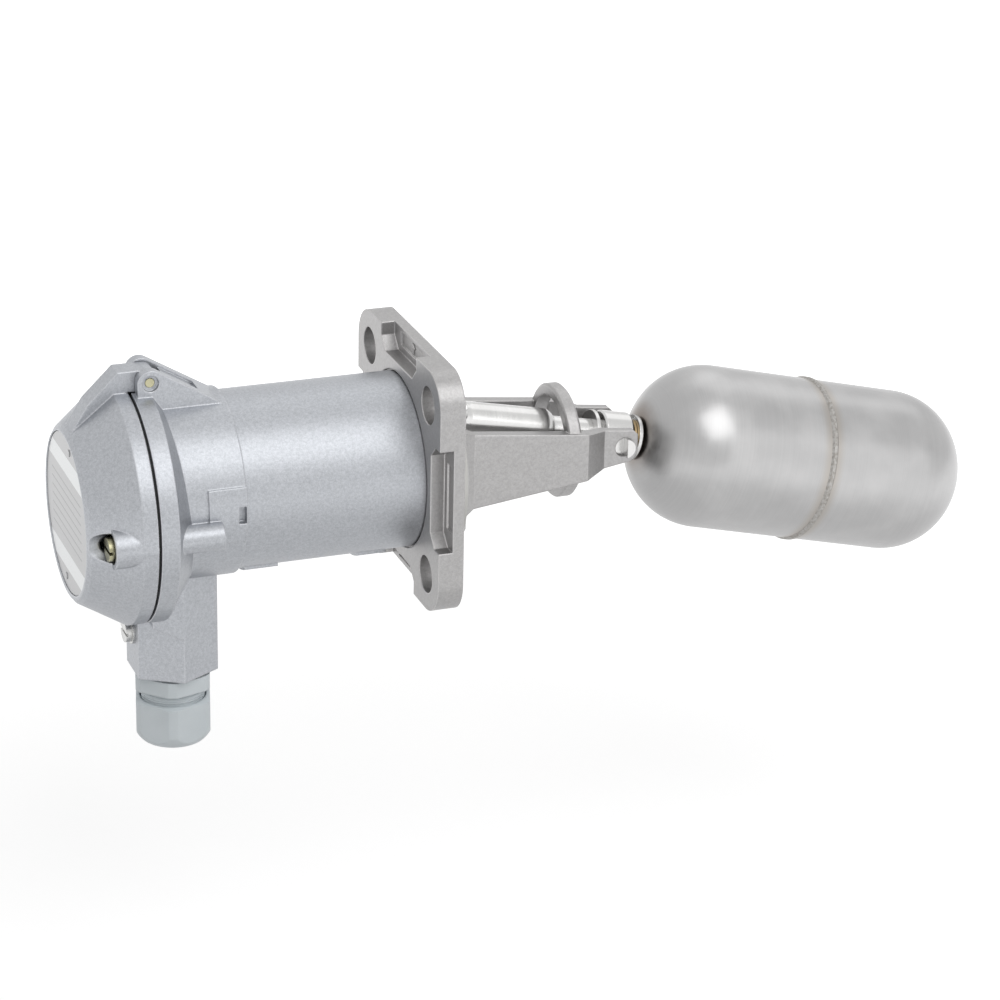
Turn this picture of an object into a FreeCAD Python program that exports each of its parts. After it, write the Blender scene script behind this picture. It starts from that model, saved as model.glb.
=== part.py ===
import FreeCAD, Part
import os
import re
import Sketcher
from FreeCAD import Placement, Rotation, Vector

# Side-mounted magnetic float switch, sizes in millimetres.
# Origin: centre of the square flange's tank-side face. +X runs into the tank, +Z is up.

doc = FreeCAD.newDocument("FloatSwitch")
sheet = doc.addObject("Spreadsheet::Sheet", "sizes")

SIZES = [
    # Square flange and what seals it
    ("flangeSide", 92, "side of the square flange"),
    ("flangeThickness", 9.5, "thickness at the ears"),
    ("flangeWeb", 4.2, "thickness left under the side pockets"),
    ("boltCircle", 92, "pitch circle of the four bolts"),
    ("boltHole", 14, "bolt hole diameter"),
    ("raisedFace", 2, "height of the round sealing face"),
    ("raisedDiameter", 77.4, "diameter of the sealing face and its gasket"),
    ("gasketThickness", 2, "flat tank gasket"),
    ("gasketBore", 64, "inner diameter of the tank gasket"),
    ("seatDepth", 1, "recess that locates the housing tube"),
    ("seatClearance", 0.6, "gap round the tube in its recess"),
    # Slot through which the lever swings, lined by the pressure dome
    ("slotWidth", 19.4, "clear width of the slot"),
    ("slotHeight", 54, "clear height of the slot"),
    ("domeWall", 1.5, "wall of the pressure dome"),
    ("domeReach", 3.5, "how far the dome stands behind the flange"),
    # Housing
    ("housingGasket", 0.8, "flat gasket between flange and housing"),
    ("tubeDiameter", 64.8, "outer diameter of the tube"),
    ("tubeBore", 58.4, "inner diameter of the tube"),
    ("bulkhead", 5, "end wall of the tube at the flange"),
    ("sleeveDiameter", 68, "outer diameter of the sleeve"),
    ("sleeveEnd", 76.5, "flange face to the sleeve's step"),
    ("rimDiameter", 87, "outer diameter of the cover rim"),
    ("rimDrop", 4.7, "rim centre below the tube axis"),
    ("rimRear", 103.5, "flange face to the back of the rim"),
    ("rimFront", 110, "flange face to the parting plane"),
    ("rimWall", 5, "wall of the rim, which holds the seal"),
    ("shoulderSlope", 1.4, "radius lost per millimetre behind the rim"),
    ("neckFlats", 29.6, "hexagon neck across its flats"),
    ("neckAxis", 95.6, "flange face to the neck's axis"),
    ("neckBottom", 70.7, "tube axis to the neck's lower end"),
    ("glandThread", 20, "thread of the cable gland"),
    # Cover and hinge
    ("coverGap", 1.1, "parting gap that the seal bridges"),
    ("coverRim", 5.2, "length of the cover's straight rim"),
    ("coverDepth", 22.4, "depth of the cover"),
    ("coverFace", 62.8, "diameter where the cone meets the face"),
    ("faceDrop", 6.6, "face centre below the tube axis"),
    ("coverEdge", 1.2, "chamfer between cone and face"),
    ("coverWall", 3.5, "wall of the cover"),
    ("labelDiameter", 59.3, "recess for the data plate"),
    ("labelDrop", 6.1, "recess centre below the tube axis"),
    ("labelDepth", 0.9, "depth of the recess"),
    ("labelThickness", 0.5, "data plate thickness"),
    ("hingeBack", 103.9, "flange face to the hinge pin"),
    ("hingeLift", 3.8, "hinge pin above the rim"),
    ("hingePin", 3.4, "hinge pin diameter"),
    ("hingeWidth", 18, "width over the two ears"),
    ("earDiameter", 9.6, "round end of the ears"),
    ("knuckleDiameter", 7.6, "round end of the cover's arm"),
    ("armWidth", 9, "width of the cover's arm"),
    ("hingeSideGap", 0.3, "gap between arm and ears"),
    ("screwSpread", 73, "distance between the two cover screws"),
    ("screwDrop", 5.8, "cover screws below the tube axis"),
    ("bossDiameter", 14.4, "screw boss on the cover"),
    ("counterbore", 11, "recess for the screw head"),
    ("screwHead", 8.4, "cover screw head"),
    ("coverScrew", 4, "cover screw shank"),
    ("lugDiameter", 10, "screw lug on the housing"),
    # Bracket and pivot
    ("baseDiameter", 62, "round foot of the bracket"),
    ("baseThickness", 5, "thickness of the foot"),
    ("bracketWidth", 41, "over the two cheeks"),
    ("cheek", 4.3, "cheek thickness"),
    ("eyeWidth", 28.4, "over the two pivot eyes"),
    ("eye", 3.2, "thickness of a pivot eye"),
    ("pivotReach", 74.5, "flange face to the pivot"),
    ("pivotDrop", 0.4, "pivot below the tube axis"),
    ("pivotPin", 7.3, "pivot pin diameter"),
    ("runningGap", 0.05, "radial clearance of moving fits"),
    ("ringReach", 50, "flange face to the guide ring"),
    ("ringLength", 5.3, "length of the guide ring"),
    ("ringDiameter", 42.6, "outer diameter of the guide ring"),
    ("ringWall", 4.3, "wall of the guide ring"),
    # Lever and float, both drooping at their lower stop
    ("leverDroop", 11.6, "lever angle below level"),
    ("floatSag", 2.1, "extra droop of the float in its coupling"),
    ("hubDiameter", 17.4, "lever hub"),
    ("hubTail", 5.5, "hub behind the pivot"),
    ("hubNose", 6.7, "hub in front of the pivot"),
    ("rodDiameter", 10, "rod through the guide ring"),
    ("leverTube", 14.8, "lever tube diameter"),
    ("leverWall", 1.5, "lever tube wall"),
    ("tubeFront", 8.5, "flange face to the tube's inner end"),
    ("magnetDepth", 9.5, "flange face back to the magnet capsule's end"),
    ("capsuleDiameter", 13, "magnet capsule"),
    ("couplingPlay", 0.5, "how far the float hangs off the lever's axis"),
    ("stubDiameter", 9.2, "float stub"),
    ("collarDiameter", 17.2, "collar on the float stub"),
    ("floatDiameter", 61.6, "float diameter"),
    ("floatStart", 0.9, "coupling plane to the float's near end"),
    ("floatLength", 136.6, "length over both domes"),
    ("floatWall", 0.8, "float shell"),
    ("floatKnuckle", 28.5, "knuckle radius of the domes"),
    ("floatCrown", 60, "crown radius of the near dome"),
    ("floatCrownFar", 36, "crown radius of the far dome"),
    ("weldWidth", 2.6, "girth weld bead"),
    ("weldHeight", 0.7, "bead above the shell"),
    # Switch mechanism inside the housing
    ("frameSheet", 1.5, "sheet of the switch frame"),
    ("frameGap", 10.8, "between the frame's cheeks"),
    ("rockerReach", 50, "flange face to the rocker's pin"),
    ("rockerPin", 3, "rocker pin diameter"),
    ("rockerTilt", 8, "rocker's rest angle, magnet down"),
    ("rockerWidth", 8, "rocker width"),
    ("switchWidth", 10.3, "microswitch width"),
    ("switchLength", 27.8, "microswitch length"),
    ("switchHeight", 15.9, "microswitch height"),
    ("switchLift", 5.6, "tube axis to the microswitch's lower face"),
    ("plungerTravel", 1.2, "microswitch plunger travel"),
    ("blockWidth", 36, "terminal block width"),
    ("blockHeight", 13, "terminal block height"),
    ("blockDepth", 13, "terminal block depth"),
    ("smallScrew", 4, "M4 fixing screws"),
]

for row, (name, value, meaning) in enumerate(SIZES, start=1):
    sheet.set("A%d" % row, name)
    sheet.set("B%d" % row, str(value))
    sheet.set("C%d" % row, meaning)
    sheet.setAlias("B%d" % row, name)
doc.recompute()
sizeNames = {name for name, value, meaning in SIZES}


def bound(text):
    # An expression with the sheet's name put before each size
    def withSheet(word):
        return "sizes." + word.group() if word.group() in sizeNames else word.group()
    return re.sub(r"[A-Za-z]\w*", withSheet, str(text))


def number(text):
    return float(sheet.evalExpression(bound(text)))


# Sketches and features of a body

def newBody(label):
    body = doc.addObject("PartDesign::Body", label)
    body.Label = label
    return body


def originFeature(body, role):
    return [item for item in body.Origin.OriginFeatures if item.Role == role][0]


def newSketch(body, plane, across="0", up="0", along="0"):
    # Sketch axes: XY gives (x, y), XZ gives (x, z) with its normal to -Y, YZ gives (y, z)
    sketch = body.newObject("Sketcher::SketchObject", body.Label + "_sketch")
    sketch.AttachmentSupport = (originFeature(body, plane + "_Plane"), [""])
    sketch.MapMode = "FlatFace"
    for axis, text in (("x", across), ("y", up), ("z", along)):
        if text != "0":
            sketch.setExpression("AttachmentOffset.Base." + axis, bound(text))
    return sketch


def measure(sketch, kind, value, *where):
    row = sketch.addConstraint(Sketcher.Constraint(kind, *where, number(value)))
    sketch.setExpression("Constraints[%d]" % row, bound(value))


def arcBetween(start, end, radius, turn):
    # turn is 1 for an arc that bends left on its way, -1 for one that bends right
    chord = end - start
    rise = max(radius ** 2 - chord.Length ** 2 / 4, 0) ** 0.5
    left = Vector(-chord.y, chord.x, 0).normalize()
    centre = (start + end) / 2 + left * rise * turn
    circle = Part.Circle(centre, Vector(0, 0, 1), radius)
    first, last = (start, end) if turn > 0 else (end, start)
    return Part.ArcOfCircle(circle, circle.parameter(first), circle.parameter(last))


def outline(sketch, points):
    # A closed profile. A point is (x, y), or (x, y, radius, turn) where an arc leads on from it.
    # A half circle also names the direction and place of its centre, in place of its radius.
    base = sketch.GeometryCount
    corners = [Vector(number(point[0]), number(point[1]), 0) for point in points]
    ends = []
    for index, point in enumerate(points):
        start, end = corners[index], corners[(index + 1) % len(points)]
        if len(point) > 2:
            sketch.addGeometry(arcBetween(start, end, number(point[2]), point[3]), False)
            ends.append((1, 2) if point[3] > 0 else (2, 1))
        else:
            sketch.addGeometry(Part.LineSegment(start, end), False)
            ends.append((1, 2))
    for index, point in enumerate(points):
        following = (index + 1) % len(points)
        sketch.addConstraint(Sketcher.Constraint(
            "Coincident", base + index, ends[index][1], base + following, ends[following][0]))
        measure(sketch, "DistanceX", point[0], -1, 1, base + index, ends[index][0])
        measure(sketch, "DistanceY", point[1], -1, 1, base + index, ends[index][0])
        if len(point) == 4:
            measure(sketch, "Radius", point[2], base + index)
        if len(point) == 6:
            measure(sketch, point[4], point[5], -1, 1, base + index, 3)


def circle(sketch, across, up, diameter):
    index = sketch.GeometryCount
    middle = Vector(number(across), number(up), 0)
    sketch.addGeometry(Part.Circle(middle, Vector(0, 0, 1), number(diameter) / 2), False)
    measure(sketch, "DistanceX", across, -1, 1, index, 3)
    measure(sketch, "DistanceY", up, -1, 1, index, 3)
    measure(sketch, "Diameter", diameter, index)


def rectangle(sketch, left, right, low, high):
    outline(sketch, [(left, low), (right, low), (right, high), (left, high)])


def oblong(sketch, width, height):
    # Upright slot with round ends, centred on the sketch's origin
    half, straight = "(%s) / 2" % width, "((%s) - (%s)) / 2" % (height, width)
    outline(sketch, [(half, "-" + straight), (half, straight, half, 1, "DistanceY", straight),
                     ("-" + half, straight),
                     ("-" + half, "-" + straight, half, 1, "DistanceY", "-" + straight)])


def settle(body, feature, growing):
    # Recomputes and makes sure that the feature added or removed material
    before = 0.0 if body.Shape.isNull() else body.Shape.Volume
    doc.recompute()
    change = body.Shape.Volume - before
    if (change <= 1e-6) if growing else (change >= -1e-6):
        raise ValueError("%s did nothing" % feature.Label)
    return feature


def extrude(kind, body, sketch, length, reverse, both, taper):
    feature = body.newObject("PartDesign::" + kind, "%s_%s" % (body.Label, kind.lower()))
    feature.Profile = sketch
    if both:
        feature.SideType = "Symmetric"
    feature.Reversed = reverse
    feature.setExpression("Length", bound(length))
    feature.TaperAngle = taper
    return settle(body, feature, kind == "Pad")


def pad(body, sketch, length, reverse=False, both=False, taper=0):
    return extrude("Pad", body, sketch, length, reverse, both, taper)


def pocket(body, sketch, length, reverse=False, both=False, taper=0):
    return extrude("Pocket", body, sketch, length, reverse, both, taper)


def turn(kind, body, sketch, axis):
    feature = body.newObject("PartDesign::" + kind, "%s_%s" % (body.Label, kind.lower()))
    feature.Profile = sketch
    feature.ReferenceAxis = (sketch, [axis])
    feature.Angle = 360
    return settle(body, feature, kind == "Revolution")


def revolve(body, sketch, axis="H_Axis"):
    return turn("Revolution", body, sketch, axis)


def groove(body, sketch, axis="H_Axis"):
    return turn("Groove", body, sketch, axis)


def aroundX(body, points, cutting=False, up="0"):
    # Turned about a line along X, (x, radius) points
    sketch = newSketch(body, "XZ", up=up)
    outline(sketch, points)
    return groove(body, sketch) if cutting else revolve(body, sketch)


def aroundZ(body, points, cutting=False, across="0"):
    # Turned about an upright line, (radius, z) points
    sketch = newSketch(body, "XZ", across=across)
    outline(sketch, points)
    return groove(body, sketch, "V_Axis") if cutting else revolve(body, sketch, "V_Axis")


def padAlongX(body, draw, start, length, **options):
    sketch = newSketch(body, "YZ", along=start)
    draw(sketch)
    return pad(body, sketch, length, **options)


def cutAlongX(body, draw, start, length):
    # Cuts from start towards +X
    sketch = newSketch(body, "YZ", along=start)
    draw(sketch)
    return pocket(body, sketch, length, reverse=True)


def padAcross(body, points, width):
    # A side profile of (x, z) points, as wide as given and centred on the middle plane
    sketch = newSketch(body, "XZ")
    outline(sketch, points)
    return pad(body, sketch, width, both=True)


def cutAcross(body, draw, width):
    sketch = newSketch(body, "XZ")
    draw(sketch)
    return pocket(body, sketch, width, both=True)


# Primitives and booleans for the plain pieces

TURNS = {"X": Rotation(Vector(0, 1, 0), 90), "Y": Rotation(Vector(1, 0, 0), -90), "Z": Rotation()}


def putAt(item, x, y, z, rotation=Rotation()):
    item.Placement = Placement(Vector(0, 0, 0), rotation)
    for axis, text in (("x", x), ("y", y), ("z", z)):
        item.setExpression("Placement.Base." + axis, bound(text))
    return item


def rod(axis, diameter, length, x, y, z):
    item = doc.addObject("Part::Cylinder", "rod")
    item.setExpression("Radius", bound("(%s) / 2" % diameter))
    item.setExpression("Height", bound(length))
    return putAt(item, x, y, z, TURNS[axis])


def block(length, width, height, x, y, z):
    # x, y and z give the low end, the middle and the low face
    item = doc.addObject("Part::Box", "block")
    item.setExpression("Length", bound(length))
    item.setExpression("Width", bound(width))
    item.setExpression("Height", bound(height))
    return putAt(item, x, "(%s) - (%s) / 2" % (y, width), z)


def joined(*items):
    result = doc.addObject("Part::MultiFuse", "joined")
    result.Shapes = list(items)
    result.Refine = True
    return result


def cut(base, *tools):
    result = doc.addObject("Part::Cut", "cut")
    result.Base = base
    result.Tool = tools[0] if len(tools) == 1 else joined(*tools)
    result.Refine = True
    return result


def common(one, other):
    result = doc.addObject("Part::Common", "common")
    result.Base = one
    result.Tool = other
    result.Refine = True
    return result


def ring(axis, outer, inner, length, x, y, z):
    return cut(rod(axis, outer, length, x, y, z), rod(axis, inner, length, x, y, z))


nodes = {}


def keep(label, item):
    item.Label = label
    nodes[label] = item
    return item


def tilted(item, x, z, angle):
    # Turns a piece drawn about its own pivot nose down by the angle
    item.Placement = Placement(Vector(0, 0, 0), Rotation(Vector(0, 1, 0), number(angle)))
    item.setExpression("Placement.Base.x", bound(x))
    item.setExpression("Placement.Base.z", bound(z))
    item.setExpression("Placement.Rotation.Angle", bound(angle))
    return item


def fourHoles(across, up, diameter):
    def draw(sketch):
        for sideways in ("", "-"):
            for upward in ("", "-"):
                circle(sketch, "%s(%s)" % (sideways, across), "%s(%s)" % (upward, up), diameter)
    return draw


SIDES = ("-", "")
WEDGE_END = ("-77.9", "32.7")
HINGE_HEIGHT = "(rimDiameter / 2 - rimDrop + hingeLift)"
MOUTH = "(rimDiameter / 2 - rimWall)"
TUBE_HEAD = "(pivotReach - ringReach + 0.8)"
TUBE_TAIL = "(pivotReach - tubeFront)"
MAGNET_END = "(pivotReach + magnetDepth)"
HOUSING_FRONT = "(flangeThickness - seatDepth + housingGasket)"
DOME_WIDTH = "(slotWidth + 2 * domeWall)"
DOME_HEIGHT = "(slotHeight + 2 * domeWall)"
BOLT_OFFSET = "(boltCircle / 2 * sqrt(0.5))"
EAR_RADIUS = "(flangeSide / 2 - boltCircle / 2 * sqrt(0.5))"
# Fixing screws: housing to flange, and bracket to flange
HOUSING_SCREW = ("20", "13")
BRACKET_SCREW = ("14.6", "22")


# Flange: cast square with four ears, open side pockets, seat, slot and holes

def makeFlange():
    body = newBody("flange")
    side, ear = "flangeSide / 2", EAR_RADIUS
    flat = "(%s - %s)" % (side, ear)

    def plate(sketch):
        outline(sketch, [("-" + flat, "-" + side), (flat, "-" + side, ear, 1), (side, "-" + flat),
                         (side, flat, ear, 1), (flat, side), ("-" + flat, side, ear, 1),
                         ("-" + side, flat), ("-" + side, "-" + flat, ear, 1)])
    padAlongX(body, plate, "-flangeThickness", "flangeThickness")
    padAlongX(body, lambda sketch: circle(sketch, "0", "0", "raisedDiameter"), "0", "raisedFace")

    # One side pocket with its shallow recess, repeated round the axis
    def sidePocket(sketch):
        outline(sketch, [("-19.5", side + " + 2"), ("-19.5", side + " - 5"), ("-15", side + " - 9.6"),
                         ("15", side + " - 9.6"), ("19.5", side + " - 5"), ("19.5", side + " + 2")])

    def recess(sketch):
        outline(sketch, [("-12.5", side + " - 6.8"), ("12.5", side + " - 6.8"),
                         ("12.5", side + " - 1.6"), ("-12.5", side + " - 1.6")])
    first = cutAlongX(body, sidePocket, "-flangeThickness", "flangeThickness - flangeWeb")
    second = cutAlongX(body, recess, "-flangeWeb", "0.6")
    pattern = body.newObject("PartDesign::PolarPattern", "flange_pattern")
    pattern.Originals = [first, second]
    pattern.Axis = (originFeature(body, "X_Axis"), [""])
    pattern.Angle = 360
    pattern.Occurrences = 4
    body.Tip = pattern
    settle(body, pattern, False)

    cutAlongX(body, lambda sketch: circle(sketch, "0", "0", "tubeDiameter + 2 * seatClearance"),
              "-flangeThickness", "seatDepth")
    cutAlongX(body, lambda sketch: oblong(sketch, DOME_WIDTH, DOME_HEIGHT),
              "-flangeThickness", "flangeThickness + raisedFace")
    cutAlongX(body, fourHoles(BOLT_OFFSET, BOLT_OFFSET, "boltHole"),
              "-flangeThickness", "flangeThickness")
    cutAlongX(body, fourHoles(*HOUSING_SCREW, "smallScrew + 0.1"), "-flangeThickness", "7")
    sketch = newSketch(body, "YZ", along="raisedFace")
    fourHoles(*BRACKET_SCREW, "smallScrew + 0.1")(sketch)
    pocket(body, sketch, "8")
    keep("flange", body)


def makeFlangeFittings():
    # Oblong cup welded in the slot: the only wall between tank and switch
    dome = newBody("pressure_dome")
    depth = "(raisedFace + flangeThickness + domeReach)"
    padAlongX(dome, lambda sketch: oblong(sketch, DOME_WIDTH + " - 0.1", DOME_HEIGHT + " - 0.1"),
              "-(flangeThickness + domeReach)", depth)
    cutAlongX(dome, lambda sketch: oblong(sketch, "slotWidth", "slotHeight"),
              "-(flangeThickness + domeReach - domeWall)", depth + " - domeWall")
    keep("pressure_dome", dome)
    keep("flange_gasket", ring("X", "raisedDiameter", "gasketBore", "gasketThickness",
                               "raisedFace", "0", "0"))
    keep("housing_gasket", ring("X", "tubeDiameter - 0.4", "tubeBore", "housingGasket",
                                "-" + HOUSING_FRONT, "0", "0"))


# Housing: cast tube, sleeve, eccentric rim, hexagon neck, hinge ears and screw lugs

def makeHousing():
    body = newBody("housing")
    tube, sleeve, rim = "tubeDiameter / 2", "sleeveDiameter / 2", "rimDiameter / 2"
    hidden = "(tubeBore / 2 - 1)"
    aroundX(body, [("-" + HOUSING_FRONT, "0"), ("-" + HOUSING_FRONT, tube), ("-sleeveEnd", tube),
                   ("-sleeveEnd", sleeve), ("-rimRear", sleeve), ("-rimRear", "0")])
    coneEnd = "(-rimRear + (%s - %s) / shoulderSlope)" % (rim, hidden)
    aroundX(body, [("-rimFront", "0"), ("-rimFront", rim), ("-rimRear", rim),
                   (coneEnd, hidden), (coneEnd, "0")], up="-rimDrop")

    # Neck for the cable gland, and the web that ties it to the rim
    corner = "(neckFlats / sqrt(3))"
    sketch = newSketch(body, "XY", across="-neckAxis", along="-neckBottom")
    outline(sketch, [("neckFlats / 2", "-%s / 2" % corner), ("neckFlats / 2", "%s / 2" % corner),
                     ("0", corner), ("-neckFlats / 2", "%s / 2" % corner),
                     ("-neckFlats / 2", "-%s / 2" % corner), ("0", "-" + corner)])
    pad(body, sketch, "neckBottom - 20")
    padAcross(body, [("-neckAxis", "-53.8"), ("-neckAxis", "-25"), ("-rimFront + 3", "-25"),
                     ("-rimFront + 3", "-47.4")], "2 * " + corner)

    # Hinge ears that run out as a wedge along the top
    ear = "(earDiameter / 2)"
    leg = "((%s) - (-hingeBack))" % WEDGE_END[0]
    drop = "(%s - (%s))" % (HINGE_HEIGHT, WEDGE_END[1])
    fall = "(atan(%s / %s) + asin(%s / sqrt(%s ^ 2 + %s ^ 2)))" % (drop, leg, ear, leg, drop)
    ridge = ("(%s * sin(%s) - hingeBack)" % (ear, fall), "(%s + %s * cos(%s))" % (HINGE_HEIGHT, ear, fall))
    padAcross(body, [ridge, WEDGE_END, (WEDGE_END[0], "28"), ("-hingeBack - earDiameter / 2", "28"),
                     ("-hingeBack - earDiameter / 2", HINGE_HEIGHT, "earDiameter / 2", -1)],
              "hingeWidth")

    # Lugs that take the cover screws, and raised pads beside the sleeve's end
    for side in SIDES:
        padAlongX(body, lambda sketch: circle(sketch, side + "screwSpread / 2", "-screwDrop", "lugDiameter"),
                  "-rimRear", "17")
        inner, outer = "(sleeveDiameter / 2 - 1)", "(sleeveDiameter / 2 + 0.9)"

        def sidePad(sketch):
            corners = [(inner, "-10.6"), (outer, "-10.6"), (outer, "10"), (inner, "10")]
            points = [("%ssqrt(%s ^ 2 - (%s) ^ 2)" % (side, radius, height), height)
                      for radius, height in corners]
            points[1] = points[1] + (outer, 1 if side == "" else -1)
            outline(sketch, points)
        padAlongX(body, sidePad, "-90.5", "90.5 - sleeveEnd")

    # Two low pads under the tube
    for start, length in (("-72", "12.5"), ("-29.5", "11")):
        low = "(tubeDiameter / 2 + 1.1)"

        def underPad(sketch):
            drop = "-sqrt(%s ^ 2 - 14 ^ 2)" % low
            outline(sketch, [("-14", "-27"), ("-14", drop, low, 1), ("14", drop), ("14", "-27")])
        padAlongX(body, underPad, start, length)

    # Hollow: bore from the bulkhead and the wide eccentric mouth, with nothing left before the rim
    bore = "tubeBore / 2"
    aroundX(body, [("-rimFront - 3", "0"), ("-rimFront - 3", rim + " + 0.3"), ("-rimFront", rim + " + 0.3"),
                   ("-rimFront", "0")], cutting=True, up="-rimDrop")
    aroundX(body, [("-%s - bulkhead" % HOUSING_FRONT, "0"), ("-%s - bulkhead" % HOUSING_FRONT, bore),
                   ("-rimFront", bore), ("-rimFront", "0")], cutting=True)
    aroundX(body, [("-rimFront", "0"), ("-rimFront", MOUTH), ("-rimRear", MOUTH),
                   ("-rimRear + 6", MOUTH + " - 8.5"), ("-rimRear + 6", "0")], cutting=True, up="-rimDrop")
    cutAlongX(body, lambda sketch: oblong(sketch, DOME_WIDTH + " + 0.8", DOME_HEIGHT + " + 0.8"),
              "-%s - bulkhead" % HOUSING_FRONT, "bulkhead")
    cutAlongX(body, fourHoles(*HOUSING_SCREW, "smallScrew + 0.4"),
              "-%s - bulkhead" % HOUSING_FRONT, "bulkhead")

    # Gland hole, earth screw hole and the holes for the cover screws
    sketch = newSketch(body, "XY", across="-neckAxis", along="-neckBottom")
    circle(sketch, "0", "0", "glandThread + 0.1")
    pocket(body, sketch, "neckBottom - 24", reverse=True)
    cutAlongX(body, lambda sketch: circle(sketch, "0", EARTH_HEIGHT, "5.1"), NECK_FACE, "5.5")
    for side in SIDES:
        cutAlongX(body, lambda sketch: circle(sketch, side + "screwSpread / 2", "-screwDrop",
                                              "coverScrew + 2.4"), "-rimFront", "20")

    # Hinge: gap for the cover's knuckle, pin hole and counterbores
    reach = "(knuckleDiameter / 2 + 2.3)"
    cutAcross(body, lambda sketch: circle(sketch, "-hingeBack", HINGE_HEIGHT, "2 * " + reach),
              "armWidth + 2 * hingeSideGap")
    cutAcross(body, lambda sketch: rectangle(sketch, "-rimFront - 1", "-hingeBack",
                                             "%s - %s" % (HINGE_HEIGHT, reach), HINGE_HEIGHT + " + 8"),
              "armWidth + 2 * hingeSideGap")
    cutAcross(body, lambda sketch: circle(sketch, "-hingeBack", HINGE_HEIGHT, "hingePin + 0.05"),
              "hingeWidth + 2")
    for side in SIDES:
        sketch = newSketch(body, "XZ", along=side + "hingeWidth / 2")
        circle(sketch, "-hingeBack", HINGE_HEIGHT, "5.8")
        pocket(body, sketch, "1.6", reverse=side == "-")

    # Shallow trough on the wedge, and the small window in the near side pad
    def trough(sketch):
        points = []
        for x, lift in (("-hingeBack", 3), ("-hingeBack", -1.2), ("-85.5", -1.2), ("-85.5", 3)):
            height = "%s - (%s - (%s)) * tan(%s) + %s" % (WEDGE_END[1], x, WEDGE_END[0], fall, lift)
            points.append((x, height))
        outline(sketch, points)
    cutAcross(body, trough, "armWidth + 2 * hingeSideGap")
    sketch = newSketch(body, "XZ", along="sleeveDiameter / 2 + 2")
    rectangle(sketch, "-79.8", "-77", "-3.2", "3.2")
    pocket(body, sketch, "4")
    sealInner, sealOuter = "(rimDiameter / 2 - rimWall * 0.7)", "(rimDiameter / 2 - rimWall * 0.3)"
    aroundX(body, [("-rimFront", sealInner), ("-rimFront", sealOuter), ("-rimFront + 1.6", sealOuter),
                   ("-rimFront + 1.6", sealInner)], cutting=True, up="-rimDrop")
    keep("housing", body)


# Cover: coned cap with hinge arm, label recess and two screw bosses

COVER_BACK = "(rimFront + coverGap)"
COVER_FRONT = "(rimFront + coverGap + coverDepth)"
SEAM_TURN = -62  # degrees, keeps the cones' seam clear of the bosses and the arm


def leaningCone(body, kind, circles):
    # Cones between circles with different centres, each given by its x, z and diameter.
    # The surface's seam is turned away from the bosses and the arm.
    sketches = []
    for along, up, diameter in circles:
        sketch = newSketch(body, "YZ", up=up, along=along)
        turned = Rotation(Vector(0, 0, 1), SEAM_TURN)
        sketch.AttachmentOffset = Placement(sketch.AttachmentOffset.Base, turned)
        circle(sketch, "0", "0", diameter)
        sketches.append(sketch)
    feature = body.newObject("PartDesign::" + kind, body.Label + "_cone")
    feature.Profile = sketches[0]
    feature.Sections = sketches[1:]
    feature.Ruled = True
    return settle(body, feature, kind == "AdditiveLoft")


def makeCover():
    body = newBody("cover")
    backFace, coneStart, front = ("-" + COVER_BACK, "-%s - coverRim" % COVER_BACK, "-" + COVER_FRONT)
    padAlongX(body, lambda sketch: circle(sketch, "0", "-rimDrop", "rimDiameter"), coneStart, "coverRim")
    share = "(coverEdge / (coverDepth - coverRim))"
    leaningCone(body, "AdditiveLoft", [
        (coneStart, "-rimDrop", "rimDiameter"),
        (front + " + coverEdge", "(faceDrop - rimDrop) * %s - faceDrop" % share,
         "coverFace + (rimDiameter - coverFace) * " + share),
        (front, "-faceDrop", "coverFace - 1.5 * coverEdge")])
    for side in SIDES:
        padAlongX(body, lambda sketch: circle(sketch, side + "screwSpread / 2", "-screwDrop", "bossDiameter"),
                  "-" + COVER_BACK, "15", reverse=True)

    # Arm from the knuckle over the rim and down the cone
    knuckle = "knuckleDiameter / 2"
    padAcross(body, [("-hingeBack", "%s + %s" % (HINGE_HEIGHT, knuckle)),
                     ("-%s - 3.5" % COVER_BACK, "%s + %s" % (HINGE_HEIGHT, knuckle)),
                     ("-%s + 7.9" % COVER_FRONT, HINGE_HEIGHT + " - 7"),
                     ("-%s + 2.2" % COVER_FRONT, "coverFace / 2 - faceDrop + 1.7"),
                     ("-%s + 4.5" % COVER_FRONT, "coverFace / 2 - faceDrop - 3"),
                     ("-%s - 2" % COVER_BACK, "30"),
                     ("-%s - 0.6" % COVER_BACK, "%s - %s" % (HINGE_HEIGHT, knuckle)),
                     ("-hingeBack", "%s - %s" % (HINGE_HEIGHT, knuckle), knuckle, 1, "DistanceX",
                      "-hingeBack")], "armWidth")

    # Hollow, label recess, screw holes and their open counterbores
    cutAlongX(body, lambda sketch: circle(sketch, "0", "-rimDrop", "2 * " + MOUTH), coneStart, "coverRim")
    leaningCone(body, "SubtractiveLoft", [(coneStart, "-rimDrop", "2 * " + MOUTH),
                                          (front + " + coverWall", "-faceDrop", "coverFace - 2")])
    cutAlongX(body, lambda sketch: circle(sketch, "0", "-labelDrop", "labelDiameter"),
              "-" + COVER_FRONT, "labelDepth")
    for side in SIDES:
        cutAlongX(body, lambda sketch: circle(sketch, side + "screwSpread / 2", "-screwDrop",
                                              "coverScrew + 0.6"), "-%s - 1" % COVER_FRONT, "coverDepth + 2")
        cutAlongX(body, lambda sketch: circle(sketch, side + "screwSpread / 2", "-screwDrop", "counterbore"),
                  "-%s - 1" % COVER_FRONT, "coverDepth + 1 - 11.2")
    cutAcross(body, lambda sketch: circle(sketch, "-hingeBack", HINGE_HEIGHT, "hingePin + 2 * runningGap"),
              "armWidth + 2")
    for across, up in RIVETS:
        cutAlongX(body, lambda sketch: circle(sketch, across, up, "1.6"),
                  "-%s + labelDepth" % COVER_FRONT, "2")
    keep("cover", body)


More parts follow.
